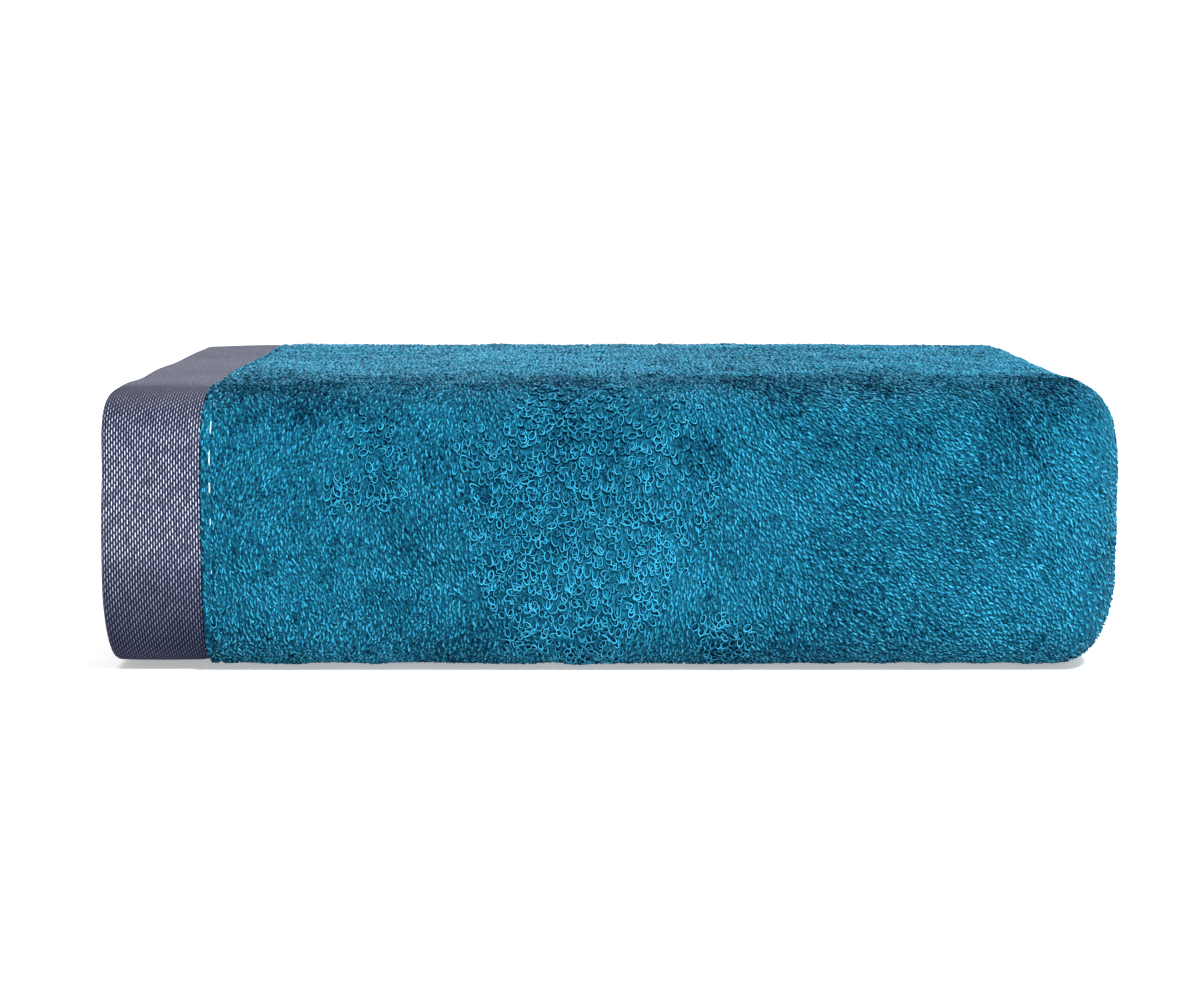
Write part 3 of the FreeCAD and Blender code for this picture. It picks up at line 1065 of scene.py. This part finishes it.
# the patches of clear loops, as soft-edged ovals: middle in x and z, half sizes, how close they stand
loopPatches = [
    (-14 * mm, 52 * mm, 35 * mm, 52 * mm, 1.0),
    (-36 * mm, 60 * mm, 20 * mm, 34 * mm, 0.55),
    (20 * mm, 62 * mm, 17 * mm, 30 * mm, 0.45),
    (-82 * mm, 75 * mm, 10 * mm, 20 * mm, 0.8),
    (-97 * mm, 66 * mm, 6 * mm, 9 * mm, 0.8),
    (38 * mm, 15 * mm, 11 * mm, 10 * mm, 0.8),
    (-141 * mm, 18 * mm, 4 * mm, 8 * mm, 0.6),
]
loopLook = {
    "spacing": 2.65 * mm,
    "width": (2.2 * mm, 3.1 * mm),
    "height": (3.3 * mm, 4.7 * mm),
    "radius": 0.20 * mm,
    "rise": 0.80 * mm,
    "sink": 0.30 * mm,
    # how much lighter the loops are painted: a painted highlight
    "paintedLoopHighlight": 0.20,
    "paintedShadowRadius": 0.56 * mm,      # a dark tube under each loop: painted shadow round it
    "paintedShadowRise": 0.44 * mm,
    "uprightShare": 0.62,
    "openShare": 0.78,           # upright and tilted ones together, the rest are closed
}


def inLoopPatch(s, u):
    points = folded(s, u, np.full(np.shape(s), clothLook["groundHalf"]))
    wobble = 0.22 * noise("loopEdge", points[:, 0], points[:, 2])
    found = np.zeros(len(points))
    for x, z, wide, tall, share in loopPatches:
        away = np.hypot((points[:, 0] - x) / wide, (points[:, 2] - z) / tall)
        found = np.maximum(found, share * ease(1.12 - away + wobble, 0, 0.3))
    return np.where(points[:, 1] < packLow.y + 26 * mm, found, 0)


def keepOffSeams(rng, s, u):
    fromBand = np.minimum(s, towelLength - s) - bandWidth
    fromHem = np.minimum(u, towelWidth - u) - clothLook["hemWidth"]
    row = np.abs(fromBand - clothLook["stitchOffset"]) < 0.9 * mm
    return (fromBand > 0.1 * mm) & (fromHem > 1.2 * mm) & ~(row & (rng.random(len(s)) < 0.35))


# what the yarns lie on: the cloth, or beside it the sewn edge of the tape
def pileBed(s, u):
    onTape = np.minimum(s, towelLength - s) < bandWidth + 0.2 * mm
    return np.where(onTape, tapeLook["faceHeight"] - tapeLook["sewnDip"] + 0.1 * mm, clothHalf(s, u))


# paths that go so far ahead and aside of each place on the stretched face, turned to its heading
def turned(s, u, ahead, aside, heading, byS, byU):
    c, n = np.cos(heading)[:, None], np.sin(heading)[:, None]
    pathS = s[:, None] + (ahead * n + aside * c) / byS[:, None]
    pathU = u[:, None] + (ahead * c - aside * n) / byU[:, None]
    return pathS, pathU


# the middle lines of short yarns at the given places, bowed sideways, with both ends under the surface
def shortYarns(rng, s, u, rise):
    look = pileLook
    count, rings = len(s), look["rings"]
    byS, byU = faceStretch(s, u)
    heading = pileHeading(rng, s, u)
    length = rng.uniform(*look["length"], count)
    bow = rng.normal(0, 1, count) * look["bow"]
    step = np.linspace(-1, 1, rings)[None, :]
    arch = 1 - step ** 2
    pathS, pathU = turned(s, u, length[:, None] / 2 * step, bow[:, None] * arch, heading, byS, byU)
    lift = -look["sink"] + (look["sink"] + look[rise] * rng.uniform(0.6, 1.35, count)[:, None]) * arch ** 0.7
    pathD = pileBed(pathS, pathU) + lift
    radius = rng.uniform(*look["radius"], count)[:, None] * (0.62 + 0.38 * arch)
    # tone: the place's tone with a random spread, and painted shade towards both ends where the yarn dips
    # into the pile
    tone = pileToneAndShade(s, u)[:, None] + rng.normal(0, look["toneSpread"], count)[:, None] - 0.35 * (1 - arch)
    return pathS, pathU, pathD, radius, tone, byS, byU


def makePile():
    total = 0
    for number, (stretch, first, last, lengthPart, spacing, rise) in enumerate(pileFields):
        rng = np.random.default_rng(700 + number)
        lowS, highS = lengthStarts[lengthPart], lengthStarts[lengthPart + 1]
        if lengthPart == 0:
            lowS += bandWidth
        s, u = scatterOver(rng, lowS, highS, widthParts[first:last + 1], spacing)
        kept = keepOffSeams(rng, s, u)
        if lengthPart == 2:    # the cloth that stretches over the bends when the towel opens
            kept &= np.abs(u - frontMiddle) > openingReach
        if lengthPart == 0:
            inLoops = inLoopPatch(s, u)
            kept &= rng.random(len(s)) > 0.70 * inLoops
        s, u = s[kept], u[kept]
        order = np.argsort(s)
        pieces = max(1, math.ceil(len(s) / pileLook["mostInPiece"]))
        for index, held in enumerate(np.array_split(order, pieces)):
            pathS, pathU, pathD, radius, tone, byS, byU = shortYarns(rng, s[held], u[held], rise)
            points, faces = yarnTubes(pathS, pathU, pathD, radius, 3, byS, byU)
            piece = newPiece(f"pile_{stretch}_{number}_{index}", points, faces, pileYarn)
            store(piece.data, "pileToneAndShade", np.repeat(np.clip(tone, 0, 1).ravel(), 3))
            finishPiece(piece, stretch)
        total += len(s)
    print("pile yarns", total)


# open loops shaped like U and C, and some closed ones, each with a dark tube of painted shadow under it
def makeLoops():
    look = loopLook
    rng = np.random.default_rng(90)
    s, u = scatterOver(rng, bandWidth + 2 * mm, lengthStarts[1], widthParts[1:5], look["spacing"])
    kept = rng.random(len(s)) < inLoopPatch(s, u)
    s, u = s[kept], u[kept]
    count, rings = len(s), 12
    byS, byU = faceStretch(s, u)
    kind = rng.random(count)
    tilted = rng.choice([-1, 1], count) * rng.uniform(0.9, 2.2, count)
    upright, loose = rng.normal(0, 0.42, count), rng.normal(0, 0.6, count)
    turn = np.where(kind < look["uprightShare"], upright,
                    np.where(kind < look["openShare"], tilted, loose))
    closed = (kind > look["openShare"])[:, None]
    wide = rng.uniform(*look["width"], count)[:, None] * np.where(closed, 0.8, 1)
    tall = rng.uniform(*look["height"], count)[:, None] * np.where(closed, 0.82, 1)
    lean = rng.normal(0, 0.16, count)[:, None]
    t = np.linspace(0, 1, rings)[None, :]
    openA = -wide / 2 * np.cos(pi * t) * (0.80 + 0.20 * np.sin(pi * t))
    openB = -tall / 2 + tall * np.sin(pi * t) ** 0.65
    closedA = wide / 2 * np.sin(2 * pi * t * 0.93)
    closedB = -tall / 2 * np.cos(2 * pi * t * 0.93)
    a, b = np.where(closed, closedA, openA), np.where(closed, closedB, openB)
    pathS, pathU = turned(s, u, b, a + lean * b, -turn, byS, byU)
    arch = np.where(closed, 0.85, np.sin(pi * t) ** 0.7)
    ground = clothHalf(pathS, pathU)
    yarnD = ground - look["sink"] + (look["sink"] + look["rise"]) * arch
    # a wider, lower tube under each loop, drawn at tone 0: painted shadow
    paintedShadowDepth = ground - look["sink"] + (look["sink"] + look["paintedShadowRise"]) * arch - look["paintedShadowRadius"] / 2
    radius = look["radius"] * rng.uniform(0.85, 1.2, count)[:, None] * (0.75 + 0.25 * arch)
    paintedShadowRadius = look["paintedShadowRadius"] * (0.5 + 0.5 * arch)
    # the loops' tone: a painted highlight over the place's tone, painted shade on the legs where they dip
    # in, and one side painted lighter and the other darker as if lit from one side
    tone = pileToneAndShade(s, u)[:, None] + look["paintedLoopHighlight"] + rng.normal(0, 0.12, count)[:, None]
    tone = tone - 0.45 * (1 - arch) + 0.16 * np.sin(2 * pi * t) * np.where(turn > 0, 1, -1)[:, None]
    for stretch in ("top", "front"):
        low, high = pieceRange(stretch)
        held = (u >= low) & (u < high)
        for name, depth, thick, shade, sides in (("loops_", yarnD, radius, np.clip(tone, 0, 1), 5),
                                                 ("loop_painted_shadows_", paintedShadowDepth, paintedShadowRadius, 0 * tone, 4)):
            points, faces = yarnTubes(pathS[held], pathU[held], depth[held], thick[held], sides, byS[held],
                                      byU[held])
            piece = newPiece(name + stretch, points, faces, pileYarn)
            store(piece.data, "pileToneAndShade", np.repeat(shade[held].ravel(), sides))
            finishPiece(piece, stretch)
    print("loops", count)


makePile()
makeLoops()


stageLook = {
    "colour": (0.90, 0.90, 0.90, 1),
    "glow": 0.42,
    "halfWidth": 12.0,
    "front": -12.0,
    "back": 1.6,
    "curve": 1.2,
    "height": 4.0,
}


# a pale floor that curves up into a wall behind
def makeStage():
    look = stageLook
    turn = np.linspace(0, pi / 2, 17)
    y = np.concatenate([[look["front"], 0], look["back"] + look["curve"] * np.sin(turn),
                        [look["back"] + look["curve"]]])
    z = np.concatenate([[0, 0], look["curve"] * (1 - np.cos(turn)), [look["height"]]])
    side = np.full(len(y), look["halfWidth"])
    points = np.concatenate([np.column_stack([-side, y, z]), np.column_stack([side, y, z])])
    first = np.arange(len(y) - 1)
    faces = np.stack([first + len(y), first + len(y) + 1, first + 1, first], 1)
    material, _, shader = newMaterial("paleFloor", 0.9)
    shader.inputs["Base Color"].default_value = look["colour"]
    shader.inputs["Emission Color"].default_value = (1, 1, 1, 1)
    shader.inputs["Emission Strength"].default_value = look["glow"]
    newPiece("floor", points, faces[:, ::-1], material)


def addLight(name, place, target, size, power):
    lamp = bpy.data.lights.new(name, "AREA")
    lamp.shape = "RECTANGLE"
    lamp.size, lamp.size_y = size
    lamp.energy = power
    holder = putObject(name, lamp, place)
    holder.rotation_mode = "QUATERNION"
    holder.rotation_quaternion = (Vector(target) - Vector(place)).to_track_quat("-Z", "Y")


studio = {
    "worldStrength": 0.28,
    "cameraGap": 0.847,        # in front of the front face
    "cameraHeight": 0.1724,
    "cameraShift": -0.0053,
    "pitchDown": 7.44,
    "lens": 74.5,
    # name, place, target, size and power of each panel
    "panels": [("keyPanel", (0.40, -0.85, 1.05), (0, -0.1, 0.05), (0.3, 0.3), 40),
               ("topPanel", (-0.2, 0.8, 1.0), (0, 0, 0.08), (1.2, 0.6), 14)],
}


def makeStudio():
    world = bpy.data.worlds.new("studio")
    bpy.context.scene.world = world
    world.use_nodes = True
    background = world.node_tree.nodes["Background"]
    background.inputs["Color"].default_value = (1, 1, 1, 1)
    background.inputs["Strength"].default_value = studio["worldStrength"]
    bpy.context.scene.view_settings.view_transform = "Standard"
    for panel in studio["panels"]:
        addLight(*panel)
    camera = bpy.data.cameras.new("camera")
    camera.lens = studio["lens"]
    place = (studio["cameraShift"], packLow.y - studio["cameraGap"], studio["cameraHeight"])
    holder = putObject("camera", camera, place)
    holder.rotation_euler = (math.radians(90 - studio["pitchDown"]), 0, 0)
    bpy.context.scene.camera = holder


makeStage()
makeStudio()
